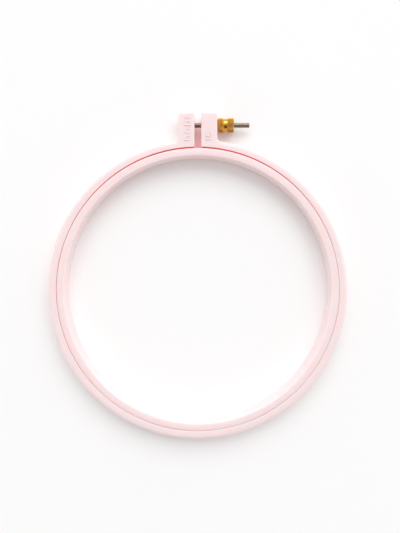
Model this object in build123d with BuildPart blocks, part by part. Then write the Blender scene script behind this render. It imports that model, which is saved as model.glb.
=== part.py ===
from build123d import *
import math
import os

# An embroidery hoop of two plastic rings, lying flat.
# The origin is the rings' common centre on the underside, +Z is up,
# the clamp lugs stand out towards +Y and the clamp screw runs along X.
# All lengths are in millimetres.

# Rings. The hoop's nominal size is measured over the inner ring.
nominal_diameter = 150.0
ring_height = 10.0
inner_ring_wall = 4.0
outer_ring_wall = 4.3
fabric_gap = 0.35
inner_ring_bore_bevel = 0.5
fabric_edge_bevel = 0.4
outer_edge_round = 1.3

# Clamp lugs on the split outer ring
lug_width = 8.6
lug_slot = 3.6
lug_reach = 14.2
lug_tip_round = 0.8
lug_root_round = 2.0
screw_to_tip = 5.6

# Clamp screw
shank_diameter = 2.9
shank_length = 35.0
shank_point_chamfer = 0.4
head_flats = 5.5
head_height = 2.0
head_chamfer = 0.35
head_sink = 1.3

# Clearances of the screw
bore_clearance = 0.1
thread_clearance = 0.05
pocket_clearance = 0.1

# Thumb nut, from the lug outwards
nut_cone_length = 1.0
nut_cone_radius = 3.05
nut_inner_band = 2.2
nut_groove_length = 2.4
nut_outer_band = 3.3
nut_band_radius = 3.9
nut_groove_radius = 3.4
nut_end_chamfer = 0.35
nut_bore_chamfer = 0.3
knurl_depth = 0.25
knurl_pitch = 0.68

# Room that a cutting shape runs past the piece it cuts
overrun = 1.0

# Sizes that follow
inner_ring_radius = nominal_diameter / 2
bore_radius = inner_ring_radius - inner_ring_wall
outer_ring_bore_radius = inner_ring_radius + fabric_gap
outer_ring_radius = outer_ring_bore_radius + outer_ring_wall
lug_outer_x = lug_slot / 2 + lug_width
lug_tip_y = outer_ring_radius + lug_reach
screw_y = lug_tip_y - screw_to_tip
screw_z = ring_height / 2
screw_axis = Axis((0, screw_y, screw_z), (1, 0, 0))
shank_radius = shank_diameter / 2
lug_bore_radius = shank_radius + bore_clearance
nut_bore_radius = shank_radius + thread_clearance
head_seat_x = head_sink + head_height - lug_outer_x
head_back_x = head_seat_x - head_height
shank_end_x = head_seat_x + shank_length
across_corners_share = 2 / 3**0.5
head_corner_radius = head_flats / 2 * across_corners_share
knurl_count = round(2 * math.pi * nut_band_radius / knurl_pitch)

os.makedirs("parts", exist_ok=True)


def edges_of_ring_bore(part):
    """The edges round the outer ring's bore wall, down the slot's corners too."""
    walls = part.faces().filter_by(GeomType.CYLINDER)
    return walls.filter_by(lambda f: math.isclose(f.radius, outer_ring_bore_radius)).edges()


# The inner ring is a plain round hoop with broken edges
with BuildPart() as inner_ring:
    with BuildSketch(Plane.XZ) as ring_section:
        with Locations((bore_radius + inner_ring_wall / 2, ring_height / 2)):
            Rectangle(inner_ring_wall, ring_height)
        chamfer(ring_section.vertices().group_by(Axis.X)[0], inner_ring_bore_bevel)
        chamfer(ring_section.vertices().group_by(Axis.X)[-1], fabric_edge_bevel)
    revolve(axis=Axis.Z)
inner_ring.part.label = "inner_ring"
export_step(inner_ring.part, "parts/inner_ring.step")


# The outer ring and both clamp lugs are one moulding, split at the slot
with BuildPart() as outer_ring:
    with BuildSketch() as outline:
        Circle(outer_ring_radius)
        with Locations((0, lug_tip_y / 2)):
            Rectangle(2 * lug_outer_x, lug_tip_y)
        lug_roots = outline.vertices().group_by(Axis.Y)[-2]
        fillet(lug_roots, lug_root_round)
        Circle(outer_ring_bore_radius, mode=Mode.SUBTRACT)
        with Locations((0, lug_tip_y / 2 + overrun / 2)):
            Rectangle(lug_slot, lug_tip_y + overrun, mode=Mode.SUBTRACT)
        lug_tips = outline.vertices().group_by(Axis.Y)[-1]
        fillet(lug_tips, lug_tip_round)
    extrude(amount=ring_height)
    flat_faces = outer_ring.faces().filter_by(Axis.Z)
    fillet(flat_faces.edges() - edges_of_ring_bore(outer_ring), outer_edge_round)

    # One bevel runs along the bore's edge, down the slot's corner and back below
    chamfer(edges_of_ring_bore(outer_ring), fabric_edge_bevel)

    # Screw hole through both lugs, and the captive hexagon pocket in the left one
    with BuildSketch(Plane.YZ.offset(-lug_outer_x - overrun)):
        with Locations((screw_y, screw_z)):
            Circle(lug_bore_radius)
    extrude(amount=2 * (lug_outer_x + overrun), mode=Mode.SUBTRACT)
    with BuildSketch(Plane.YZ.offset(head_seat_x)):
        with Locations((screw_y, screw_z)):
            RegularPolygon(head_flats / 2 + pocket_clearance, 6, major_radius=False)
    extrude(amount=-(head_sink + head_height + overrun), mode=Mode.SUBTRACT)
outer_ring.part.label = "outer_ring"
export_step(outer_ring.part, "parts/outer_ring.step")


# The clamp screw is a hexagon-headed screw whose head is sunk in the left lug
with BuildPart() as clamp_screw:
    with BuildSketch(Plane.YZ.offset(head_back_x)):
        with Locations((screw_y, screw_z)):
            RegularPolygon(head_flats / 2, 6, major_radius=False)
    extrude(amount=head_height)

    # The head's corners are turned off at the back
    with BuildSketch(Plane.XY.offset(screw_z)):
        with BuildLine():
            Polyline(
                (head_back_x, screw_y),
                (head_back_x, screw_y + head_corner_radius - 2 * head_chamfer),
                (head_back_x + head_chamfer, screw_y + head_corner_radius),
                (head_seat_x, screw_y + head_corner_radius),
                (head_seat_x, screw_y),
                close=True,
            )
        make_face()
    revolve(axis=screw_axis, mode=Mode.INTERSECT)

    with BuildSketch(Plane.YZ.offset(head_seat_x)):
        with Locations((screw_y, screw_z)):
            Circle(shank_radius)
    extrude(amount=shank_length)
    shank_point = clamp_screw.faces().sort_by(Axis.X)[-1]
    chamfer(shank_point.edges(), shank_point_chamfer)
clamp_screw.part.label = "clamp_screw"
export_step(clamp_screw.part, "parts/clamp_screw.step")


# The thumb nut is turned from bar: a cone against the lug, then two knurled
# bands with a smooth groove between them
cone_end_x = lug_outer_x + nut_cone_length
inner_band_end_x = cone_end_x + nut_inner_band
groove_end_x = inner_band_end_x + nut_groove_length
nut_end_x = groove_end_x + nut_outer_band
with BuildPart() as thumb_nut:
    with BuildSketch(Plane.XY.offset(screw_z)):
        with BuildLine():
            Polyline(
                (lug_outer_x, screw_y + nut_bore_radius + nut_bore_chamfer),
                (lug_outer_x, screw_y + nut_cone_radius),
                (cone_end_x, screw_y + nut_band_radius),
                (inner_band_end_x, screw_y + nut_band_radius),
                (inner_band_end_x, screw_y + nut_groove_radius),
                (groove_end_x, screw_y + nut_groove_radius),
                (groove_end_x, screw_y + nut_band_radius),
                (nut_end_x - nut_end_chamfer, screw_y + nut_band_radius),
                (nut_end_x, screw_y + nut_band_radius - nut_end_chamfer),
                (nut_end_x, screw_y + nut_bore_radius + nut_bore_chamfer),
                (nut_end_x - nut_bore_chamfer, screw_y + nut_bore_radius),
                (lug_outer_x + nut_bore_chamfer, screw_y + nut_bore_radius),
                close=True,
            )
        make_face()
    revolve(axis=screw_axis)

    # Flutes of the knurl, cut along the bands and clear of the groove
    with BuildSketch(Plane.YZ.offset(lug_outer_x)):
        with Locations((screw_y, screw_z)):
            with PolarLocations(nut_band_radius, knurl_count):
                Polygon(
                    (-knurl_depth, 0),
                    (knurl_depth, knurl_pitch),
                    (knurl_depth, -knurl_pitch),
                    align=None,
                )
    extrude(amount=nut_end_x - lug_outer_x, mode=Mode.SUBTRACT)
thumb_nut.part.label = "thumb_nut"
export_step(thumb_nut.part, "parts/thumb_nut.step")

print("hoop outside diameter", round(2 * outer_ring_radius, 2))
print("lug tip from centre", round(lug_tip_y, 2))
print("screw end", round(shank_end_x, 2), "and nut end", round(nut_end_x, 2))
print("thread left beyond the nut", round(shank_end_x - nut_end_x, 2))
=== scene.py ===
# %% [markdown]
# # An embroidery hoop
#
# An embroidery hoop holds cloth flat between two rings. The inner ring is a plain hoop of
# moulded plastic. The outer ring is a second moulding, split at one place, and a lug stands
# out on each side of the split. A steel screw runs through both lugs, and a brass thumb nut
# draws them together. This lesson dresses the solid model of those four pieces: it gives each
# one its finer shape, its material and its light.
#
# The solid model is loaded first and stays where it is. Everything made later is in metres,
# in the same frame, so each piece goes where its solid says.

# %% Load the solid model
import math

import bmesh
import bpy
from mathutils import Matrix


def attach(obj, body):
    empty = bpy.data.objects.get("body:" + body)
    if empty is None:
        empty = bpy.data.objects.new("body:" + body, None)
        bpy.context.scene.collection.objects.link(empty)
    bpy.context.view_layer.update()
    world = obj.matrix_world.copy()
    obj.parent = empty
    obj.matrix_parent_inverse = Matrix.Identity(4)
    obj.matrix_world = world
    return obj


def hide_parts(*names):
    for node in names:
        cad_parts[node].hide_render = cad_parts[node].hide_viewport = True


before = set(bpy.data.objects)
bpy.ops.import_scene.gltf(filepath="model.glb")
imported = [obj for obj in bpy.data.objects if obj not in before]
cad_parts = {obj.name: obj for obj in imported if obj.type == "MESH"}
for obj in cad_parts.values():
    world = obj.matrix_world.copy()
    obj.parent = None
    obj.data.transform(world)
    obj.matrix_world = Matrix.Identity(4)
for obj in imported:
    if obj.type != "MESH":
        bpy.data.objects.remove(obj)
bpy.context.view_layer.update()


def in_mm(box):
    """A box in millimetres, to print."""
    return [[round(1000 * c, 2) for c in corner] for corner in box]


print("solid pieces:", ", ".join(sorted(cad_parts)))

# %% [markdown]
# ## The camera
#
# The hoop lies on a table and the camera looks straight down at it from about arm's length.
# It stands above the upper half of the hoop, and the frame is moved down a little to take in
# the whole of it. A small lens shift does that without tilting the camera, so upright walls
# still point at the spot below the lens.

# %% Place the camera
mm = 0.001
image_height_px = 533
focal_length_px = 434.5
frame_drop_px = 14.0


def new_object(name, data):
    """Puts an object with the given data in the scene."""
    made = bpy.data.objects.new(name, data)
    bpy.context.collection.objects.link(made)
    return made


camera = new_object("camera", bpy.data.cameras.new("camera"))
camera.location = (1.17 * mm, 19.55 * mm, 240 * mm)
camera.data.lens = focal_length_px / image_height_px * camera.data.sensor_width
camera.data.shift_y = -frame_drop_px / image_height_px
camera.data.clip_start, camera.data.clip_end = 10 * mm, 50
bpy.context.scene.camera = camera
print("lens", round(camera.data.lens, 2), "mm, frame moved down", frame_drop_px, "pixels")

# %% [markdown]
# ## The light and the table
#
# The hoop is lit like a thing on a white table beside a large window. One soft lamp is the
# window: it is wide, so shadows are soft. A pale room does the rest. It is bright near the
# horizon, duller overhead, and dark where a camera and its stand would be. That leaves the
# polished brass something dark to reflect, and that is what makes metal look like metal.
#
# The gap between the rings and the slot between the lugs are lit almost only by light that
# has bounced from wall to wall, so it may bounce more often than Blender allows at first.

# %% Helpers that add nodes
def add_node(kind, inputs=None, tree=None, out=0, **settings):
    """Adds a node, sets it, gives its named inputs a value or a link, and returns an output.

    A node that takes a link goes into that link's tree. Only the others are told theirs.
    """
    inputs = inputs or {}
    linked = {k: value for k, value in inputs.items() if isinstance(value, bpy.types.NodeSocket)}
    tree = tree or next(iter(linked.values())).id_data
    made = tree.nodes.new(kind)
    for name, value in settings.items():
        setattr(made, name, value)
    for socket, value in inputs.items():
        if socket in linked:
            tree.links.new(value, made.inputs[socket])
        else:
            made.inputs[socket].default_value = value
    return made.outputs[out] if made.outputs else None


def remap(value, low, high, first=0.0, last=1.0, ease="LINEAR"):
    """Carries a value from the range low to high over to first to last, and holds the ends."""
    limits = {"From Min": low, "From Max": high, "To Min": first, "To Max": last}
    inputs = {"Value": value, **limits}
    return add_node("ShaderNodeMapRange", inputs, interpolation_type=ease)


def mixed(share, first, second, kind="RGBA"):
    """Mixes two colours, or two numbers when the kind is FLOAT."""
    a, b, out = (6, 7, 2) if kind == "RGBA" else (2, 3, 0)
    inputs = {0: share, a: first, b: second}
    return add_node("ShaderNodeMix", inputs, out=out, data_type=kind)


print("made helpers that add nodes")

# %% Light the room
room_at_horizon = (1.17, 1.18, 1.19, 1.0)
room_overhead = (0.79, 0.795, 0.805, 1.0)
overhead_begins = 0.55
camera_shade = (0.18, 0.13, 0.09, 1.0)
camera_bearing = (0.0, -0.669, 0.743)
shade_begins, shade_is_full = 0.76, 0.94

room = bpy.data.worlds.new("room")
bpy.context.scene.world = room
room.use_nodes = True
sky = room.node_tree
sky.nodes.clear()
seen = add_node("ShaderNodeTexCoord", tree=sky, out="Generated")
height_seen = add_node("ShaderNodeSeparateXYZ", {"Vector": seen}, out="Z")
climb = remap(height_seen, 0.0, overhead_begins, ease="SMOOTHSTEP")
wall_to_ceiling = mixed(climb, room_at_horizon, room_overhead)
facing = {0: seen, 1: camera_bearing}
towards_camera = add_node("ShaderNodeVectorMath", facing, out="Value", operation="DOT_PRODUCT")
in_shade = remap(towards_camera, shade_begins, shade_is_full, ease="SMOOTHSTEP")
room_colour = mixed(in_shade, wall_to_ceiling, camera_shade)
background = add_node("ShaderNodeBackground", {"Color": room_colour, "Strength": 1.0})
add_node("ShaderNodeOutputWorld", {"Surface": background})
print("room of", len(sky.nodes), "nodes")

# %% Hang the window
light_paths = bpy.context.scene.cycles
light_paths.max_bounces, light_paths.diffuse_bounces = 24, 20
print("light may bounce between pale walls", light_paths.diffuse_bounces, "times")

window_bearing, window_rise = math.radians(77), math.radians(44)
window_distance = 7.0
window = new_object("window", bpy.data.lights.new("window", "AREA"))
window.data.shape = "RECTANGLE"
window.data.size, window.data.size_y = 8.56, 5.13
window.data.energy = 300.0
window.location = (
    window_distance * math.cos(window_rise) * math.cos(window_bearing),
    window_distance * math.cos(window_rise) * math.sin(window_bearing),
    window_distance * math.sin(window_rise),
)
window.rotation_mode = "QUATERNION"
window.rotation_quaternion = window.location.to_track_quat("Z", "Y")
print("window at", [round(c, 2) for c in window.location], "metres")

# %% Lay the table top
table_half_width = 15.0
table_drop = 0.02 * mm


def new_material(name, constants):
    """Starts a material and sets the constants of its shader."""
    material = bpy.data.materials.new(name)
    material.use_nodes = True
    shader = material.node_tree.nodes["Principled BSDF"]
    for socket, value in constants.items():
        shader.inputs[socket].default_value = value
    return material, material.node_tree, shader


def cloud(place, scale, detail, roughness=0.5):
    """Soft random spots from 0 to 1, so many of them to the metre."""
    inputs = {"Vector": place, "Scale": scale, "Detail": detail, "Roughness": roughness}
    return add_node("ShaderNodeTexNoise", inputs, out="Fac")


table_mesh = bpy.data.meshes.new("table_top")
table_corners = [
    (x * table_half_width, y * table_half_width, -table_drop)
    for x, y in [(-1, -1), (1, -1), (1, 1), (-1, 1)]
]
table_mesh.from_pydata(table_corners, [], [(0, 1, 2, 3)])
table = new_object("table_top", table_mesh)

table_white, table_tree, table_shader = new_material(
    "table_white", {"Roughness": 0.7, "Specular IOR Level": 0.2}
)
table_place = add_node("ShaderNodeTexCoord", tree=table_tree, out="Object")
table_tone = add_node("ShaderNodeValToRGB", {"Fac": cloud(table_place, 9.0, 3.0)})
for k, white in enumerate((0.955, 0.975)):
    table_tone.node.color_ramp.elements[k].color = (white, white, white, 1)
table_tree.links.new(table_tone, table_shader.inputs["Base Color"])
table_mesh.materials.append(table_white)
print("table top", 2 * table_half_width, "metres square")

# %% [markdown]
# ## Effects that several finishes share
#
# Four effects turn up in more than one material, so each is built once as a node group and
# placed with its own values. *Uneven tone* is the slow change of shade that moulded plastic
# and plated metal both have. *Wear and painted highlight* lightens or darkens a surface where a
# mask on the mesh says that hands or tools rub it; on the raised marks the same mask lays a
# painted highlight along each crest. *Dirt and painted shade* does the opposite where a second
# mask says that nothing reaches: old polish stays in a knurl and oil in a thread, while on the
# plastic it is painted shade, a deep pink that stands in for light bounced between the close
# walls of the gap, the slot and the marks' feet. *Fine grain* is the smallest relief: the etched
# skin of a mould, or the marks that a lathe leaves, depending on how far it is stretched.

# %% Helpers for node groups
NUMBER, COUNT, COLOUR = "NodeSocketFloat", "NodeSocketInt", "NodeSocketColor"
PLACE, SHAPE, MATERIAL = "NodeSocketVector", "NodeSocketGeometry", "NodeSocketMaterial"


def new_group(kind, name, inputs, outputs):
    """Starts a node group with the named inputs and outputs of each kind."""
    tree = bpy.data.node_groups.new(name, kind)
    for way, sockets in (("INPUT", inputs), ("OUTPUT", outputs)):
        for socket_type, labels in sockets.items():
            for label in labels:
                tree.interface.new_socket(label, in_out=way, socket_type=socket_type)
    given = tree.nodes.new("NodeGroupInput").outputs
    result = tree.nodes.new("NodeGroupOutput").inputs
    return tree, given, result


def put_out(result, **values):
    """Links values to the group's outputs."""
    for label, value in values.items():
        value.id_data.links.new(value, result[label])


def calc(operation, *terms, **settings):
    """One Math node on the given terms."""
    inputs = dict(enumerate(terms))
    return add_node("ShaderNodeMath", inputs, operation=operation, **settings)


def scaled(vector, number):
    """A colour or a vector times a number."""
    return add_node("ShaderNodeVectorMath", {0: vector, "Scale": number}, operation="SCALE")


print("six kinds of socket, from", NUMBER, "to", MATERIAL)

# %% Uneven tone
colour_and_roughness = {COLOUR: ["Colour"], NUMBER: ["Roughness"]}
uneven_tone, given, result = new_group(
    "ShaderNodeTree",
    "uneven_tone",
    {
        PLACE: ["Place"],
        COLOUR: ["Colour"],
        NUMBER: ["Spots per Metre", "Shade", "Roughness", "Roughness Change"],
    },
    colour_and_roughness,
)
spots = cloud(given["Place"], given["Spots per Metre"], 4.0, 0.55)
swing = remap(spots, 0.3, 0.7, -1.0, 1.0)
shade = calc("MULTIPLY_ADD", swing, given["Shade"], 1.0)
put_out(
    result,
    Colour=scaled(given["Colour"], shade),
    Roughness=calc("MULTIPLY_ADD", swing, given["Roughness Change"], given["Roughness"]),
)
print("effect:", uneven_tone.name)

# %% Wear and painted highlight
nicks_per_metre = 900.0


def fade_finish(given, result, share, word):
    """Fades a colour and its roughness into a second pair, whose names start with a word."""
    put_out(
        result,
        Colour=mixed(share, given["Colour"], given[word + " Colour"]),
        Roughness=mixed(share, given["Roughness"], given[word + " Roughness"], "FLOAT"),
    )


wear_and_painted_highlight, given, result = new_group(
    "ShaderNodeTree",
    "wear_and_painted_highlight",
    {
        PLACE: ["Place"],
        COLOUR: ["Colour", "Worn Colour"],
        NUMBER: ["Edge", "Amount", "Roughness", "Worn Roughness"],
    },
    colour_and_roughness,
)
nicks = cloud(given["Place"], nicks_per_metre, 3.0)
patchy = remap(nicks, 0.35, 0.65)
rubbed = calc("MULTIPLY", patchy, given["Edge"])
wear = calc("MULTIPLY", rubbed, given["Amount"], use_clamp=True)
fade_finish(given, result, wear, "Worn")
print("effect:", wear_and_painted_highlight.name)

# %% Dirt and painted shade
dirt_and_painted_shade, given, result = new_group(
    "ShaderNodeTree",
    "dirt_and_painted_shade",
    {
        COLOUR: ["Colour", "Hollow Colour"],
        NUMBER: ["Hollow", "Roughness", "Hollow Roughness"],
    },
    colour_and_roughness,
)
fade_finish(given, result, given["Hollow"], "Hollow")
print("effect:", dirt_and_painted_shade.name)

# %% Fine grain
fine_grain, given, result = new_group(
    "ShaderNodeTree",
    "fine_grain",
    {PLACE: ["Place", "Stretch"], NUMBER: ["Grains per Metre"]},
    {NUMBER: ["Height"]},
)
stretch = {0: given["Place"], 1: given["Stretch"]}
pulled = add_node("ShaderNodeVectorMath", stretch, operation="MULTIPLY")
put_out(result, Height=cloud(pulled, given["Grains per Metre"], 2.0, 0.6))
print("effect:", fine_grain.name)

# %% [markdown]
# ## The finishes
#
# The rings are a satin pastel plastic. Light sinks a little way into it, which softens the
# shadows and warms the narrow gap between the rings. The raised marks are the same plastic,
# but too thin for light to sink into; their crests carry a painted highlight and their feet a
# painted shade.
# The thumb nut is turned brass, polished in its groove and dull in its knurl. The screw is
# steel with thin nickel plating, and old oil sits in its thread.
#
# Each material is the shared effects with its own values. Two masks that the meshes carry,
# called `rub` and `hollow`, say where it is worn and where it is hidden; on the raised marks
# `rub` lays a painted highlight, and on the plastic `hollow` lays painted shade. That deep pink
# stands in for light bounced between close walls, so it belongs to the closed gap and not to
# the ring: there the mask counts only where another surface is near, and a ring that is
# lifted out is pale all over.

# %% A helper that builds a finish
def pass_through(effect, inputs):
    """Places a shared effect and gives the colour and roughness for the next one."""
    outputs = add_node("ShaderNodeGroup", inputs, node_tree=effect).node.outputs
    return {"Colour": outputs["Colour"], "Roughness": outputs["Roughness"]}


def new_finish(name, tone, wear, hollow, grain, grain_height, shader, near=None):
    """A material made of the four effects, with the shader's own constants set on it."""
    finish, tree, skin = new_material(name, shader)
    place = add_node("ShaderNodeTexCoord", tree=tree, out="Object")
    rub, hidden = (
        add_node("ShaderNodeAttribute", tree=tree, out="Fac", attribute_name=mask)
        for mask in ("rub", "hollow")
    )
    # On the plastic the hollow mask is painted shade, so it counts only where another surface lies
    # within this distance
    if near:
        distance = {"Distance": near}
        open_air = add_node("ShaderNodeAmbientOcclusion", distance, tree, out="AO", samples=8)
        hidden = calc("MULTIPLY", hidden, calc("SUBTRACT", 1.0, open_air))
    toned = pass_through(uneven_tone, {"Place": place, **tone})
    worn = pass_through(wear_and_painted_highlight, {"Place": place, "Edge": rub, **toned, **wear})
    deep = pass_through(dirt_and_painted_shade, {"Hollow": hidden, **worn, **hollow})
    relief = add_node("ShaderNodeGroup", {"Place": place, **grain}, node_tree=fine_grain)
    bump = add_node("ShaderNodeBump", {"Height": relief, "Strength": 1.0, "Distance": grain_height})
    tree.links.new(deep["Colour"], skin.inputs["Base Color"])
    tree.links.new(deep["Roughness"], skin.inputs["Roughness"])
    tree.links.new(bump, skin.inputs["Normal"])
    print("finish:", name)
    return finish


print("made a helper that builds a finish")

# %% Satin pink plastic
pink_moulding = {
    "tone": {
        "Spots per Metre": 45.0,
        "Colour": (0.975, 0.77, 0.775, 1),
        "Shade": 0.010,
        "Roughness": 0.36,
        "Roughness Change": 0.05,
    },
    # Painted shade: a deep pink where the hollow mask says, standing in for light bounced between
    # close walls
    "hollow": {"Hollow Colour": (1.0, 0.17, 0.16, 1), "Hollow Roughness": 0.5},
    "grain": {"Grains per Metre": 7000.0, "Stretch": (1.0, 1.0, 1.0)},
    "grain_height": 0.004 * mm,
}
pink_plastic = new_finish(
    "satin_pink_plastic",
    **pink_moulding,
    wear={"Amount": 0.45, "Worn Colour": (0.99, 0.83, 0.835, 1), "Worn Roughness": 0.30},
    near=5.0 * mm,
    shader={
        "IOR": 1.49,
        "Subsurface Weight": 0.6,
        "Subsurface Radius": (1.0, 0.30, 0.28),
        "Subsurface Scale": 3.0 * mm,
    },
)
mark_plastic = new_finish(
    "satin_pink_marks",
    **pink_moulding,
    # Painted highlight: a near-white crest along each raised stroke, laid by the rub mask
    wear={"Amount": 1.0, "Worn Colour": (0.99, 0.95, 0.95, 1), "Worn Roughness": 0.36},
    shader={"IOR": 1.49},
)

# %% Turned brass
turned_brass = new_finish(
    "turned_brass",
    tone={
        "Spots per Metre": 300.0,
        "Colour": (0.68, 0.33, 0.01, 1),
        "Shade": 0.04,
        "Roughness": 0.21,
        "Roughness Change": 0.03,
    },
    wear={"Amount": 0.35, "Worn Colour": (0.80, 0.48, 0.10, 1), "Worn Roughness": 0.24},
    hollow={"Hollow Colour": (0.40, 0.17, 0.02, 1), "Hollow Roughness": 0.5},
    grain={"Grains per Metre": 2500.0, "Stretch": (6.0, 0.4, 0.4)},
    grain_height=0.003 * mm,
    shader={"Metallic": 1.0, "Coat Weight": 0.8, "Coat IOR": 1.7, "Coat Roughness": 0.04},
)

# %% Nickel-plated steel
nickel_steel = new_finish(
    "nickel_plated_steel",
    tone={
        "Spots per Metre": 350.0,
        "Colour": (0.66, 0.60, 0.53, 1),
        "Shade": 0.07,
        "Roughness": 0.30,
        "Roughness Change": 0.08,
    },
    wear={"Amount": 0.6, "Worn Colour": (0.74, 0.69, 0.62, 1), "Worn Roughness": 0.24},
    hollow={"Hollow Colour": (0.34, 0.27, 0.19, 1), "Hollow Roughness": 0.5},
    grain={"Grains per Metre": 6000.0, "Stretch": (1.0, 1.0, 1.0)},
    grain_height=0.002 * mm,
    shader={"Metallic": 1.0},
)

# %% [markdown]
# ## Sizes of the rings
#
# A section through either ring is a rounded oblong. Its top isn't quite flat: a moulding is
# crowned a little, so that it leaves the mould and the light rolls over it. Both sections come
# from one helper. It is given a *station* on each wall: a place, the direction into the
# plastic, the reach of the edge across the face and down the wall, and how hidden the wall is.
# An edge is a quarter of an oval, because the outer ring's shoulder is wider than it is deep.

# %% Sizes and the quarter oval
ring_height = 10.0 * mm
bore_radius = 71.0 * mm
inner_ring_radius = 75.0 * mm
outer_ring_radius = 79.635 * mm
crown_height = 0.12 * mm
crown_steps = 6
round_steps = 8


def quarter_oval(across, down):
    """Steps of a rounded edge, from the wall to the face: inset, depth below the face, rub."""
    for k in range(round_steps + 1):
        turn = math.pi / 2 * k / round_steps
        yield across * (1 - math.cos(turn)), down * (1 - math.sin(turn)), math.sin(2 * turn)


def smooth_step(low, high, value):
    """0 below low, 1 above high, with a soft start and end."""
    share = min(1.0, max(0.0, (value - low) / (high - low)))
    return share * share * (3 - 2 * share)


print("each rounded edge has", round_steps, "steps")

# %% The section between two stations
# On the plastic the hollow mask places painted shade; it grows down each wall between these shares
# of the edge's depth
edge_open_to, edge_hidden_from = 0.25, 0.95
lug_face_drop = 0.25 * mm


def shares(steps):
    """Even shares of a stretch, from just after its start to its end."""
    return [k / steps for k in range(1, steps + 1)]


def between(first, second, share):
    """A point or an edge between two others."""
    return tuple(a + (b - a) * share for a, b in zip(first, second))


def edge_points(x, y, into_x, into_y, edge, hidden):
    """The rounded edge at a station, from the wall to the face: X, Y, depth, rub, hollow."""
    points = []
    for inset, depth, rub in quarter_oval(*edge):
        hollow = hidden * smooth_step(edge_open_to, edge_hidden_from, depth / edge[1])
        points.append((x + into_x * inset, y + into_y * inset, depth, rub, hollow))
    return points


def section(first, second, lug_share=0.0):
    """The closed section between two stations: X, Y, Z, rub and hollow of each point."""
    start, end = edge_points(*first), edge_points(*second)[::-1]
    face = [
        (*between(start[-1][:2], end[0][:2], share), 0.0, 0.0, 0.0)
        for share in shares(crown_steps)[:-1]
    ]
    wall = math.dist(first[:2], second[:2])
    lower = []
    for x, y, depth, *masks in start + face + end:
        across_share = 2 * math.dist((x, y), second[:2]) / wall - 1
        sag = crown_height * (1 - lug_share) * across_share**2
        lower.append((x, y, depth + sag, *masks))
    top_z = ring_height - lug_face_drop * lug_share
    upper = [(x, y, top_z - depth, *masks) for x, y, depth, *masks in lower]
    return upper + lower[::-1]


print("each face has", crown_steps, "steps")

# %% [markdown]
# ## The inner ring
#
# The inner ring is one closed section carried round a circle, so it follows a rule, and
# Geometry Nodes can make it: the section is drawn once as a loop of edges, and *Curve to
# Mesh* sweeps it along a circle. The number of steps and the radius are inputs of the tree.
# The same could be done with a Screw modifier, but the tree also carries the two masks from
# the section to the whole ring.

# %% Helpers for Geometry Nodes
def new_tree(name, sizes):
    """Starts a Geometry Nodes tree that takes an outline, named sizes and a material."""
    inputs = {SHAPE: ["Geometry"], **sizes, MATERIAL: ["Material"]}
    return new_group("GeometryNodeTree", name, inputs, {SHAPE: ["Geometry"]})


def swept_round(outline, radius, steps):
    """Sweeps the drawn outline along a circle."""
    profile = add_node("GeometryNodeMeshToCurve", {"Mesh": outline})
    circle = {"Radius": radius, "Resolution": steps}
    path = add_node("GeometryNodeCurvePrimitiveCircle", circle)
    return add_node("GeometryNodeCurveToMesh", {"Curve": path, "Profile Curve": profile})


def put_at(made, place, rotation=(0.0, 0.0, 0.0)):
    """Turns and moves what was made."""
    inputs = {"Geometry": made, "Translation": place, "Rotation": rotation}
    return add_node("GeometryNodeTransform", inputs)


def finish_tree(made, material, result):
    """Ends a tree as the export needs it: real geometry, smooth, with its material."""
    for kind in ("GeometryNodeSetShadeSmooth", "GeometryNodeRealizeInstances"):
        made = add_node(kind, {"Geometry": made})
    dressed = add_node("GeometryNodeSetMaterial", {"Geometry": made, "Material": material})
    put_out(result, Geometry=dressed)
    print("tree:", made.id_data.name, "of", len(made.id_data.nodes), "nodes")


print("made helpers for trees")

# %% Helpers that grow a piece
def put_masks(mesh, rows, **columns):
    """Writes masks on a mesh's points, each from its column in a table of the points."""
    for mask_name, column in columns.items():
        mask = mesh.attributes.new(mask_name, "FLOAT", "POINT")
        mask.data.foreach_set("value", [float(row[column]) for row in rows])


def keep_result(piece):
    """Makes the result of a piece's modifiers its own plain mesh."""
    ready = piece.evaluated_get(bpy.context.evaluated_depsgraph_get())
    result = bpy.data.meshes.new_from_object(ready)
    piece.modifiers.clear()
    piece.data = result
    result.name = piece.name


def grow(outline, name, tree, sizes):
    """Runs a tree on a drawn outline and keeps the result as a plain mesh."""
    piece = new_object(name, outline)
    growing = piece.modifiers.new("growing", "NODES")
    growing.node_group = tree
    for item in tree.interface.items_tree:
        if item.in_out == "INPUT" and item.name in sizes:
            growing[item.identifier] = sizes[item.name]
    keep_result(piece)
    return piece


def drawn(name, points, edges=None):
    """An outline of points and edges. Without edges, the points form a closed loop."""
    if edges is None:
        edges = [(k, (k + 1) % len(points)) for k in range(len(points))]
    outline = bpy.data.meshes.new(name)
    outline.from_pydata(points, edges, [])
    return outline


print("made helpers that grow a piece")

# %% Helpers that finish a mesh
weld_distance, sliver_width = 0.0005 * mm, 0.0002 * mm


def clean(mesh):
    """Welds the seams, points faces outwards and counts the edges that are left open."""
    skin = bmesh.new()
    skin.from_mesh(mesh)
    bmesh.ops.remove_doubles(skin, verts=skin.verts, dist=weld_distance)
    bmesh.ops.dissolve_degenerate(skin, edges=skin.edges, dist=sliver_width)
    bmesh.ops.recalc_face_normals(skin, faces=skin.faces)
    open_edges = sum(len(edge.link_faces) != 2 for edge in skin.edges)
    skin.to_mesh(mesh)
    skin.free()
    return open_edges


def settle(piece, sharp_deg, body):
    """Cleans a piece, marks its sharp edges, and gives it its body."""
    open_edges = clean(piece.data)
    piece.data.shade_smooth()
    piece.data.set_sharp_from_angle(angle=math.radians(sharp_deg))
    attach(piece, body)
    places = list(zip(*[v.co for v in piece.data.vertices]))
    reach = in_mm([[f(axis) for axis in places] for f in (min, max)])
    print(piece.name, "-", len(piece.data.polygons), "faces,", open_edges, "open edges, box", reach)


print("points closer than", weld_distance / mm, "mm are welded")

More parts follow.
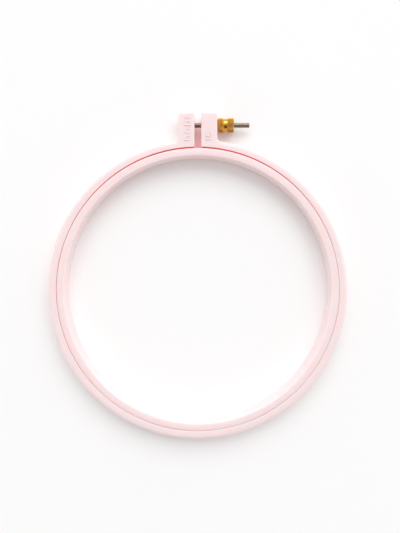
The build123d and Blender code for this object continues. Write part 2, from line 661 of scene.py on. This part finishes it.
# %% Draw the inner ring's section
fabric_edge, bore_edge = (0.38 * mm, 0.38 * mm), (0.55 * mm, 0.55 * mm)
bore_wall = (bore_radius, 0.0, 1.0, 0.0, bore_edge, 0.0)
# The fabric wall faces the gap, so it gets the full painted shade
fabric_wall = (inner_ring_radius, 0.0, -1.0, 0.0, fabric_edge, 1.0)
inner_ring_middle = (bore_radius + inner_ring_radius) / 2
inner_section = section(bore_wall, fabric_wall)
section_points = [(x - inner_ring_middle, z - ring_height / 2, 0) for x, _, z, *_ in inner_section]
inner_outline = drawn("inner_ring_section", section_points)
put_masks(inner_outline, inner_section, rub=3, hollow=4)
print("section of", len(inner_section), "points")

# %% Sweep the inner ring
ring_tree, given, result = new_tree(
    "ring_sweep", {NUMBER: ["Ring Radius"], PLACE: ["Ring Middle"], COUNT: ["Steps Around"]}
)
swept = swept_round(given["Geometry"], given["Ring Radius"], given["Steps Around"])
lifted = put_at(swept, given["Ring Middle"])
finish_tree(lifted, given["Material"], result)

inner_ring_lie = (0.037 * mm, -0.026 * mm)
inner_ring = grow(
    inner_outline,
    "inner_ring_moulding",
    ring_tree,
    {
        "Ring Radius": inner_ring_middle,
        "Ring Middle": (*inner_ring_lie, ring_height / 2),
        "Steps Around": 300,
        "Material": pink_plastic,
    },
)
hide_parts("inner_ring")
settle(inner_ring, 40, "inner_ring")

# %% [markdown]
# ## The outer ring
#
# The outer ring is harder, because its section changes on the way: a wide soft shoulder on
# the ring, a tighter edge on the lugs, and a small one along the gap. It is still one strip.
# Walk along it from the tip of one lug, round the ring and back to the tip of the other: at
# each station there is an outside edge, an inside edge, and a rounded section between them.
# So the stations are worked out for one half, mirrored for the other, and joined into a
# skin. The screw's hole and the hexagon pocket are cut afterwards, as a drill would.
#
# A clamped ring hugs the inner ring all the way round, but its stiff lugs hold it off a
# little beside the slot, so the gap widens there. The lugs' top is a shade lower than the
# ring's, and the raised marks stand on it.

# %% Sizes of the lugs
lug_outer_x = 10.4 * mm
slot_half_width = 1.8 * mm
lug_tip_y = 93.85 * mm
lug_root_radius = 2.0 * mm
slot_corner_radius = 0.5 * mm
# Share of the gap's painted shade that the slot's walls get
slot_painted_shade = 0.15
drop_begins_y, drop_ends_y, drop_within_x = 56 * mm, 79 * mm, 45 * mm

shoulder = (2.1 * mm, 1.5 * mm)
gap_edge = (0.34 * mm, 0.34 * mm)
lug_edge = (0.65 * mm, 0.65 * mm)
gap_at_rest, gap_by_slot, gap_spread_deg = 0.10 * mm, 0.52 * mm, 40.0
tip_start_y = lug_tip_y - lug_edge[0]

root_centre_x = lug_outer_x + lug_root_radius
root_centre_y = math.sqrt((outer_ring_radius + lug_root_radius) ** 2 - root_centre_x**2)
root_start_deg = math.degrees(math.atan2(root_centre_y, root_centre_x))
corner_centre_x = slot_half_width + slot_corner_radius
bore_by_slot = inner_ring_radius + gap_at_rest + gap_by_slot
corner_centre_y = math.sqrt((bore_by_slot + slot_corner_radius) ** 2 - corner_centre_x**2)
corner_start_deg = math.degrees(math.atan2(corner_centre_y, corner_centre_x))
print("the lug's root begins at", round(root_start_deg, 2), "degrees")

# %% Stations along the ring
def direction(deg):
    """A unit vector in plan."""
    return math.cos(math.radians(deg)), math.sin(math.radians(deg))


def ring_outside(deg):
    """A station on the ring's outside."""
    ux, uy = direction(deg)
    return outer_ring_radius * ux, outer_ring_radius * uy, -ux, -uy, shoulder, 0.0


def ring_inside(deg):
    """A station on the ring's bore."""
    ux, uy = direction(deg)
    from_slot = (90 - deg) / gap_spread_deg
    radius = inner_ring_radius + gap_at_rest + gap_by_slot * math.exp(-from_slot**2)
    # The bore faces the gap, so its stations get the full painted shade
    return radius * ux, radius * uy, ux, uy, gap_edge, 1.0


print("the bore's radius at the side is", round(math.hypot(*ring_inside(0)[:2]) / mm, 3), "mm")

# %% Stations along the lug
lug_stations = 30
root_steps, bore_steps, corner_steps = 14, 10, 8
side_spacing, slot_spacing = 1.5, 1.3
lug_edge_full_at, slot_fades_from = 0.35, 0.5


def lug_outside():
    """Stations along the root's hollow, then the lug's long side."""
    for share in shares(root_steps):
        ux, uy = direction(180 + root_start_deg * (1 - share))
        x, y = root_centre_x + lug_root_radius * ux, root_centre_y + lug_root_radius * uy
        edge = between(shoulder, lug_edge, smooth_step(0, 1, share))
        yield x, y, ux, uy, edge, 0.0
    for share in shares(lug_stations - root_steps):
        y = root_centre_y + (tip_start_y - root_centre_y) * share**side_spacing
        yield lug_outer_x, y, -1.0, 0.0, lug_edge, 0.0


def lug_inside():
    """Stations along the rest of the bore, the slot's corner, then the slot's side."""
    for share in shares(bore_steps):
        yield ring_inside(root_start_deg + (corner_start_deg - root_start_deg) * share)
    for share in shares(corner_steps):
        ux, uy = direction(180 + corner_start_deg * (1 - share))
        x = corner_centre_x + slot_corner_radius * ux
        y = corner_centre_y + slot_corner_radius * uy
        yield x, y, -ux, -uy, gap_edge, 1.0 - (1.0 - slot_painted_shade) * share
    for share in shares(lug_stations - bore_steps - corner_steps):
        y = corner_centre_y + (tip_start_y - corner_centre_y) * share**slot_spacing
        edge = between(gap_edge, lug_edge, smooth_step(0, lug_edge_full_at, share))
        hollow = slot_painted_shade * (1 - smooth_step(slot_fades_from, 1.0, share))
        yield slot_half_width, y, 1.0, 0.0, edge, hollow


ring_stations = 140
ring_turns = [-90 + (root_start_deg + 90) * k / ring_stations for k in range(ring_stations + 1)]
outside = [*map(ring_outside, ring_turns), *lug_outside()]
inside = [*map(ring_inside, ring_turns), *lug_inside()]
print(len(outside), "stations on each half")

# %% Round off the lug's tip
tip_flat_share = 0.96


def tip_loops(last):
    """Loops that close the lug's end with the same rounding as its long edges."""
    rounding = lug_edge[0]
    xs, zs = [p[0] for p in last], [p[2] for p in last]
    left, right = min(xs) + rounding, max(xs) - rounding
    low, high = min(zs) + rounding, max(zs) - rounding
    loops = []
    for share in shares(round_steps):
        turn = math.pi / 2 * share
        y = tip_start_y + rounding * math.sin(turn)
        loop = []
        for x, _, z, rub, _ in last:
            core_x, core_z = min(right, max(left, x)), min(high, max(low, z))
            out_x, out_z = (x - core_x) * math.cos(turn), (z - core_z) * math.cos(turn)
            loop.append((core_x + out_x, y, core_z + out_z, rub * math.cos(turn), 0.0))
        loops.append(loop)
    middle = ((left + right) / 2, (low + high) / 2)
    flat = []
    for x, y, z, _, _ in loops[-1]:
        flat_x, flat_z = between(middle, (x, z), tip_flat_share)
        flat.append((flat_x, y, flat_z, 0.0, 0.0))
    return [*loops, flat]


right_half = []
for outer, inner in zip(outside, inside):
    x, y = outer[:2]
    on_lug = smooth_step(drop_begins_y, drop_ends_y, y) if x < drop_within_x else 0.0
    right_half.append(section(outer, inner, on_lug))
right_half += tip_loops(right_half[-1])
left_half = [[(-point[0], *point[1:]) for point in loop] for loop in reversed(right_half[1:])]
loops = left_half + right_half
print(len(loops), "sections of", len(loops[0]), "points")

# %% Join the sections into a skin
def skinned(name, loops, material=None, **masks):
    """A closed piece through loops of points, each loop the same size."""
    count, last = len(loops[0]), (len(loops) - 1) * len(loops[0])
    faces = []
    for first in range(0, last, count):
        for j in range(count):
            k = (j + 1) % count
            faces.append((first + j, first + count + j, first + count + k, first + k))
    faces += [tuple(reversed(range(count))), tuple(range(last, last + count))]
    rows = [point for loop in loops for point in loop]
    mesh = bpy.data.meshes.new(name)
    mesh.from_pydata([row[:3] for row in rows], [], faces)
    put_masks(mesh, rows, **masks)
    if material:
        mesh.materials.append(material)
    clean(mesh)
    return new_object(name, mesh)


outer_ring = skinned("outer_ring_moulding", loops, pink_plastic, rub=3, hollow=4)
print("skin of", len(outer_ring.data.polygons), "faces before drilling")

# %% [markdown]
# ## Drilling the lugs
#
# A cutting tool is a closed shape that a Boolean takes away. The drill is a long turned
# shape with a small countersink at each face it breaks through. The pocket cutter is a
# hexagonal block with rounded corners and a slightly flared mouth, as the steel pin in a
# mould has.

# %% Rings round the screw's axis
screw_y, screw_z = 88.25 * mm, 5.0 * mm
cutter_steps = 48
sixth = math.pi / 3


def on_ring(x, radius, turn, centre_y=screw_y, centre_z=screw_z):
    """A point at a radius and a turn round an axis along X."""
    return x, centre_y + radius * math.cos(turn), centre_z + radius * math.sin(turn)


def round_ring(x, radius):
    """A ring of points round the screw's axis."""
    return [on_ring(x, radius, 2 * math.pi * k / cutter_steps) for k in range(cutter_steps)]


def hexagon_ring(x, half_flats, corner_radius, steps_per_corner=5):
    """A hexagon with rounded corners round the screw's axis, one corner towards +Y."""
    core = (half_flats - corner_radius) / math.cos(sixth / 2)
    ring = []
    for corner in range(6):
        _, centre_y, centre_z = on_ring(x, core, sixth * corner)
        for k in range(steps_per_corner + 1):
            turn = sixth * (corner + k / steps_per_corner - 0.5)
            ring.append(on_ring(x, corner_radius, turn, centre_y, centre_z))
    return ring


print("a drilled circle has", cutter_steps, "steps")

# %% Make the cutters
hole_radius = 1.55 * mm
countersink = 0.22 * mm
head_seat_x = -7.1 * mm
pocket_half_flats = 2.85 * mm
pocket_flare = 0.3 * mm
cutter_end_x = 12 * mm

wide, gap_side = hole_radius + countersink, slot_half_width
drill_profile = [
    (-cutter_end_x, wide),
    (head_seat_x - 0.01 * mm, wide),
    (head_seat_x + countersink, hole_radius),
    (-gap_side - countersink, hole_radius),
    (-gap_side, wide),
    (gap_side, wide),
    (gap_side + countersink, hole_radius),
    (lug_outer_x - countersink, hole_radius),
    (lug_outer_x, wide),
    (cutter_end_x, wide),
]
pocket_profile = [
    (-cutter_end_x, pocket_half_flats + pocket_flare, 0.45 * mm),
    (-lug_outer_x, pocket_half_flats + pocket_flare, 0.45 * mm),
    (-lug_outer_x + pocket_flare, pocket_half_flats, 0.3 * mm),
    (head_seat_x, pocket_half_flats, 0.3 * mm),
]
drill = skinned("drill", [round_ring(*row) for row in drill_profile])
pocket = skinned("pocket", [hexagon_ring(*row) for row in pocket_profile])
print("cutters:", drill.name, pocket.name)

# %% Cut the hole and the pocket
for cutter in (drill, pocket):
    cut = outer_ring.modifiers.new(cutter.name, "BOOLEAN")
    cut.operation, cut.solver, cut.object = "DIFFERENCE", "EXACT", cutter
keep_result(outer_ring)
for cutter in (drill, pocket):
    bpy.data.objects.remove(cutter)
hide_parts("outer_ring")
settle(outer_ring, 32, "outer_ring")

# %% [markdown]
# ## The raised marks
#
# The mould leaves raised marks on the lugs: the hoop's size, a plain 15, on the right lug,
# and on the left one a plain gauge, with a stroke at every second millimetre. Each stroke
# stands about a quarter of a millimetre above the lug and runs out into it at its sides, so
# its section is a low bell. A stroke is a path, so Geometry Nodes can lay it: the strokes are
# drawn as lines, and the tree sweeps the bell along them and narrows it at both ends.

# %% The path of a stroke
bead_tree, given, result = new_tree(
    "raised_bead",
    {
        NUMBER: ["Bead Radius", "Step", "Core", "Flare", "Crest", "Skirt", "Sunk"],
        COUNT: ["Sides"],
    },
)
strokes = add_node("GeometryNodeMeshToCurve", {"Mesh": given["Geometry"]})
stepped = {"Curve": strokes, "Length": given["Step"]}
even = add_node("GeometryNodeResampleCurve", stepped, mode="LENGTH")
along = add_node("GeometryNodeSplineParameter", tree=bead_tree, out="Length")
whole = add_node("GeometryNodeSplineLength", tree=bead_tree, out="Length")
nearest_end = calc("MINIMUM", along, calc("SUBTRACT", whole, along))
end_share = remap(nearest_end, 0.0, given["Bead Radius"], 1.0, 0.0)
squared = calc("MULTIPLY", end_share, end_share)
blunt_end = 0.02
taper = calc("SQRT", calc("SUBTRACT", 1 + blunt_end, squared))
print("a stroke narrows over its last", given["Bead Radius"].name)

# %% The bell that runs along it
core, flare, rim = given["Core"], given["Flare"], given["Bead Radius"]
bead_circle = {"Radius": rim, "Resolution": given["Sides"]}
bead_round = add_node("GeometryNodeCurvePrimitiveCircle", bead_circle)
just_below_middle = -1e-6


def position_parts(tree):
    """The X, Y and Z of each point's place."""
    place = add_node("GeometryNodeInputPosition", tree=tree)
    return add_node("ShaderNodeSeparateXYZ", {"Vector": place}).node.outputs


def moved(made, **places):
    """Sets each point's Position, or moves it by an Offset."""
    return add_node("GeometryNodeSetPosition", {"Geometry": made, **places})


def with_masks(made, **masks):
    """Stores masks on the points under their names."""
    for label, value in masks.items():
        mask = {"Geometry": made, "Name": label, "Value": value}
        made = add_node("GeometryNodeStoreNamedAttribute", mask, data_type="FLOAT", domain="POINT")
    return made


def over_width(start, end, first, last):
    """A value that eases from first to last between two distances from the stroke's middle."""
    return remap(off_middle, start, end, first, last, "SMOOTHSTEP")


profile = position_parts(bead_tree)
off_middle = calc("ABSOLUTE", profile["X"])
bell_height = over_width(core, flare, given["Crest"], given["Skirt"])
upper_half = calc("LESS_THAN", profile["Y"], just_below_middle)
level = calc("SUBTRACT", given["Sunk"], calc("MULTIPLY", upper_half, bell_height))
bell_place = add_node("ShaderNodeCombineXYZ", {"X": profile["X"], "Y": level})
# Painted highlight along each crest, as the rub mask, and painted shade round its foot, as the
# hollow mask
crest_painted_highlight = over_width(core, flare, 1.0, 0.0)
foot_painted_shade = calc("MULTIPLY", over_width(core, flare, 0.0, 0.5), over_width(flare, rim, 1.0, 0.0))
bell = with_masks(moved(bead_round, Position=bell_place), rub=crest_painted_highlight, hollow=foot_painted_shade)
sweep = {"Curve": even, "Profile Curve": bell, "Scale": taper, "Fill Caps": True}
finish_tree(add_node("GeometryNodeCurveToMesh", sweep), given["Material"], result)

# %% Draw the strokes
bead_sunk = 0.05 * mm
mark_z = ring_height - lug_face_drop
bead_sizes = {
    "Bead Radius": 0.62 * mm,
    "Step": 0.12 * mm,
    "Sides": 44,
    "Core": 0.18 * mm,
    "Flare": 0.42 * mm,
    "Crest": bead_sunk + lug_face_drop - 0.01 * mm,
    "Skirt": bead_sunk + 0.012 * mm,
    "Sunk": bead_sunk,
    "Material": mark_plastic,
}


def lay_strokes(name, strokes, base_x, base_y):
    """Turns strokes to read upwards along the lug, and lays a bead on each."""
    points, edges = [], []
    for stroke in strokes:
        first = len(points)
        points += [(base_x - v * mm, base_y + u * mm, mark_z) for u, v in stroke]
        edges += [(k, k + 1) for k in range(first, len(points) - 1)]
    piece = grow(drawn(name + "_strokes", points, edges), name, bead_tree, bead_sizes)
    heights = [vertex.co.z for vertex in piece.data.vertices]
    print(name, "from", round(min(heights) / mm, 3), "to", round(max(heights) / mm, 3), "mm")
    settle(piece, 60, "outer_ring")


print("a stroke is", 2 * bead_sizes["Bead Radius"] / mm, "mm wide")

# %% Lay the size number
def bowl(centre_u, centre_v, radius_u, radius_v, start_deg, end_deg, steps=16):
    """Points on an oval, for the round part of a digit."""
    for k in range(steps + 1):
        ux, uy = direction(start_deg + (end_deg - start_deg) * k / steps)
        yield centre_u + radius_u * ux, centre_v + radius_v * uy


digit_one = [(0.0, 2.1), (0.9, 2.7), (0.9, 0.0)]
digit_five = [(4.3, 2.7), (2.5, 2.7), (2.3, 1.45), *bowl(3.35, 0.9, 1.2, 0.9, 128, -140)]
lay_strokes("size_number", [digit_one, digit_five], 7.25 * mm, 78.8 * mm)

# %% Lay the gauge
gauge_spacing, gauge_lengths = 2.0, (3.1, 1.9)
gauge_strokes = []
for k in range(7):
    u = gauge_spacing * k
    gauge_strokes.append([(u, 0.0), (u, gauge_lengths[k % 2])])
lay_strokes("two_millimetre_gauge", gauge_strokes, -4.1 * mm, 79.2 * mm)

# %% [markdown]
# ## The thumb nut
#
# The nut is turned from bar on a lathe: a short cone against the lug, then two bands with
# a groove between them. The bands are knurled with straight flutes, so that fingers grip.
# Both are rules, and one tree does the two jobs: it sweeps the turned outline round the
# axis, and then pulls the surface in wherever a flute runs. How far is in a mask on the
# outline, called `knurl`, which is 1 on the bands and 0 on the groove and the cone.

# %% Turn and knurl
flute_ridge, flute_root = 0.11, 0.5
nut_tree, given, result = new_tree(
    "turned_and_knurled",
    {
        NUMBER: ["Turning Radius", "Flute Depth"],
        COUNT: ["Flutes", "Steps per Flute"],
        PLACE: ["Axis Start"],
    },
)
steps_around = calc("MULTIPLY", given["Flutes"], given["Steps per Flute"])
turned = swept_round(given["Geometry"], given["Turning Radius"], steps_around)
apart = position_parts(nut_tree)
around = calc("ARCTAN2", apart["Y"], apart["X"])
flutes_passed = calc("MULTIPLY", around, given["Flutes"])
in_turns = calc("DIVIDE", flutes_passed, 2 * math.pi)
to_root = calc("PINGPONG", in_turns, 0.5)
v_shape = remap(to_root, flute_ridge, flute_root)
knurl = add_node("GeometryNodeInputNamedAttribute", {"Name": "knurl"}, nut_tree, data_type="FLOAT")
pull_share = calc("MULTIPLY", v_shape, knurl)
pull = calc("MULTIPLY", pull_share, given["Flute Depth"])
flat_way = add_node("ShaderNodeCombineXYZ", {"X": apart["X"], "Y": apart["Y"]})
outward = add_node("ShaderNodeVectorMath", {0: flat_way}, operation="NORMALIZE")
flute_move = scaled(outward, calc("MULTIPLY", pull, -1.0))
fluted = moved(with_masks(turned, hollow=pull_share), Offset=flute_move)
on_axis = put_at(fluted, given["Axis Start"], (0.0, math.pi / 2, 0.0))
finish_tree(on_axis, given["Material"], result)

# %% Draw the nut's outline
# Each row is the distance from the lug, the radius, the knurl and the rub
groove_middle = 4.40
half_groove = [
    (2.70, 3.90, 1, 0.5),
    (2.92, 3.88, 1, 1.0),
    (3.04, 3.82, 1, 1.0),
    (3.10, 3.74, 0, 0.6),
    (3.22, 3.56, 0, 0.2),
    (3.34, 3.45, 0, 0.0),
    (3.50, 3.40, 0, 0.0),
    (3.75, 3.385, 0, 0.0),
]
nut_outline_mm = [
    (0.30, 1.50, 0, 0.0),
    (0.00, 1.80, 0, 0.3),
    (0.00, 2.86, 0, 0.0),
    (0.04, 2.98, 0, 0.6),
    (0.16, 3.12, 0, 0.9),
    (0.45, 3.42, 0, 0.4),
    (0.72, 3.66, 0, 0.4),
    (0.88, 3.78, 0, 0.8),
    (1.04, 3.86, 1, 1.0),
    (1.16, 3.89, 1, 1.0),
    (1.40, 3.90, 1, 0.5),
    *half_groove,
    (groove_middle, 3.38, 0, 0.0),
    *[(2 * groove_middle - x, *rest) for x, *rest in reversed(half_groove)],
    (8.40, 3.90, 1, 0.5),
    (8.62, 3.87, 1, 1.0),
    (8.76, 3.79, 1, 1.0),
    (8.86, 3.66, 0, 0.9),
    (8.90, 3.50, 0, 0.4),
    (8.90, 3.30, 0, 0.0),
    (8.90, 1.90, 0, 0.0),
    (8.88, 1.80, 0, 0.3),
    (8.60, 1.50, 0, 0.0),
]
turning_radius = 3.0 * mm
nut_points = [(radius * mm - turning_radius, -x * mm, 0) for x, radius, _, _ in nut_outline_mm]
nut_outline = drawn("nut_outline", nut_points)
put_masks(nut_outline, nut_outline_mm, knurl=2, rub=3)
thumb_nut = grow(
    nut_outline,
    "thumb_nut_turned",
    nut_tree,
    {
        "Turning Radius": turning_radius,
        "Flutes": 36,
        "Steps per Flute": 8,
        "Flute Depth": 0.25 * mm,
        "Axis Start": (lug_outer_x, screw_y, screw_z),
        "Material": turned_brass,
    },
)
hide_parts("thumb_nut")
settle(thumb_nut, 38, "thumb_nut")

# %% [markdown]
# ## The clamp screw
#
# The screw's thread is a real one: 3 mm, half a millimetre to the turn. Seen unrolled, a
# thread is a flat grid of ridges that slant by one pitch in each turn. So the tree starts
# from a grid, rolls it round the axis while it slides along, and the seam meets itself one
# ridge further on. Rows that run past either end are held back to it, which closes them into
# a plain circle.

# %% The place of each point along the thread
thread_tree, given, result = new_tree(
    "rolled_thread",
    {
        NUMBER: ["Length", "Pitch", "Outside Radius", "Thread Depth", "Point Chamfer"],
        COUNT: ["Rows per Pitch", "Steps Around"],
        PLACE: ["Axis Start"],
    },
)
length, pitch, rows_per_pitch = given["Length"], given["Pitch"], given["Rows per Pitch"]
steps, outside_radius = given["Steps Around"], given["Outside Radius"]
turns_and_one = calc("ADD", calc("CEIL", calc("DIVIDE", length, pitch)), 1.0)
rows = calc("MULTIPLY", turns_and_one, rows_per_pitch)
grid = add_node(
    "GeometryNodeMeshGrid",
    {
        "Size X": rows,
        "Size Y": steps,
        "Vertices X": calc("ADD", rows, 1.0),
        "Vertices Y": calc("ADD", steps, 1.0),
    },
)
grid_parts = position_parts(thread_tree)
row_turns = calc("DIVIDE", calc("MULTIPLY_ADD", rows, 0.5, grid_parts["X"]), rows_per_pitch)
step_turns = calc("DIVIDE", calc("MULTIPLY_ADD", steps, 0.5, grid_parts["Y"]), steps)
travel = calc("SUBTRACT", calc("ADD", row_turns, step_turns), 1.0)
from_start = calc("MAXIMUM", calc("MULTIPLY", travel, pitch), 0.0)
held = calc("MINIMUM", from_start, length)
angle = calc("MULTIPLY", step_turns, 2 * math.pi)
print("the tree has", len(thread_tree.nodes), "nodes so far")

# %% The thread's ridges and its two chamfers
crest_ends, root_begins = 1 / 12, 5 / 12
half_row = calc("DIVIDE", 0.5, rows_per_pitch)
ridge_place = calc("PINGPONG", calc("ADD", row_turns, half_row), 0.5)
ridge = remap(ridge_place, crest_ends, root_begins)
threaded = calc("SUBTRACT", outside_radius, calc("MULTIPLY", ridge, given["Thread Depth"]))
point_radius = calc("SUBTRACT", outside_radius, given["Point Chamfer"])
at_point = calc("ADD", point_radius, calc("SUBTRACT", length, held))
at_head = calc("ADD", point_radius, held)
thread_radius = calc("MINIMUM", calc("MINIMUM", threaded, at_point), at_head)
rolled_y = calc("MULTIPLY", thread_radius, calc("COSINE", angle))
rolled_z = calc("MULTIPLY", thread_radius, calc("SINE", angle))
rolled = add_node("ShaderNodeCombineXYZ", {"X": held, "Y": rolled_y, "Z": rolled_z})
marked = with_masks(grid, rub=calc("SUBTRACT", 1.0, ridge), hollow=ridge)
seam = {"Geometry": moved(marked, Position=rolled), "Distance": weld_distance}
welded = add_node("GeometryNodeMergeByDistance", seam)
finish_tree(put_at(welded, given["Axis Start"]), given["Material"], result)

# %% Roll the thread and close its ends
shank_length = 35.0 * mm
thread_inside_head = 0.3 * mm
thread_piece = grow(
    drawn("thread_start", [(0, 0, 0)], []),
    "clamp_screw_thread",
    thread_tree,
    {
        "Length": shank_length + thread_inside_head,
        "Pitch": 0.5 * mm,
        "Rows per Pitch": 6,
        "Steps Around": 32,
        "Outside Radius": 1.45 * mm,
        "Thread Depth": 0.3 * mm,
        "Point Chamfer": 0.4 * mm,
        "Axis Start": (head_seat_x - thread_inside_head, screw_y, screw_z),
        "Material": nickel_steel,
    },
)
ends = bmesh.new()
ends.from_mesh(thread_piece.data)
rim_edges = [edge for edge in ends.edges if edge.is_boundary]
bmesh.ops.holes_fill(ends, edges=rim_edges, sides=0)
ends.to_mesh(thread_piece.data)
ends.free()
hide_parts("clamp_screw")
settle(thread_piece, 38, "clamp_screw")

# %% [markdown]
# ## The screw's head
#
# The head is a hexagon that sits in its pocket and can't turn. A real one is stamped and
# then turned at the back, so its corners end in small curved facets. The block is built as
# stacked hexagons whose corners are cut back by the turning cone, and the last two break the
# edge round its seat.

# %% Stamp the head
head_half_flats = 2.75 * mm
head_height = 2.0 * mm
head_corner_cut = 0.35 * mm
head_back_inset = 0.15 * mm
seat_edge = 0.08 * mm
corner_facets = 5
head_rub = 0.7
head_back_x = head_seat_x - head_height
full_corner = head_half_flats / math.cos(sixth / 2)


def turned_hexagon(x, turned_radius, steps_per_side=8):
    """A hexagon whose corners are turned down to a radius, one corner towards +Y."""
    ring = []
    for k in range(6 * steps_per_side):
        turn = 2 * math.pi * k / (6 * steps_per_side)
        from_corner = (turn + sixth / 2) % sixth - sixth / 2
        reach = head_half_flats / math.cos(abs(sixth / 2 - abs(from_corner)))
        ring.append((*on_ring(x, min(reach, turned_radius), turn), head_rub))
    return ring


head_profile = [(head_back_x, head_half_flats - head_back_inset)]
for share in shares(corner_facets):
    radius = head_half_flats + (full_corner - head_half_flats) * share
    head_profile.append((head_back_x + head_corner_cut * share, radius))
head_profile += [(head_seat_x - seat_edge, full_corner), (head_seat_x, full_corner - seat_edge)]
head_rings = [turned_hexagon(*row) for row in head_profile]
screw_head = skinned("clamp_screw_head", head_rings, nickel_steel, rub=3)
settle(screw_head, 25, "clamp_screw")

# %% [markdown]
# ## Finish
#
# The view transform stays plain, so a colour renders as it is written.

# %% Keep the view transform plain
bpy.context.scene.view_settings.view_transform = "Standard"
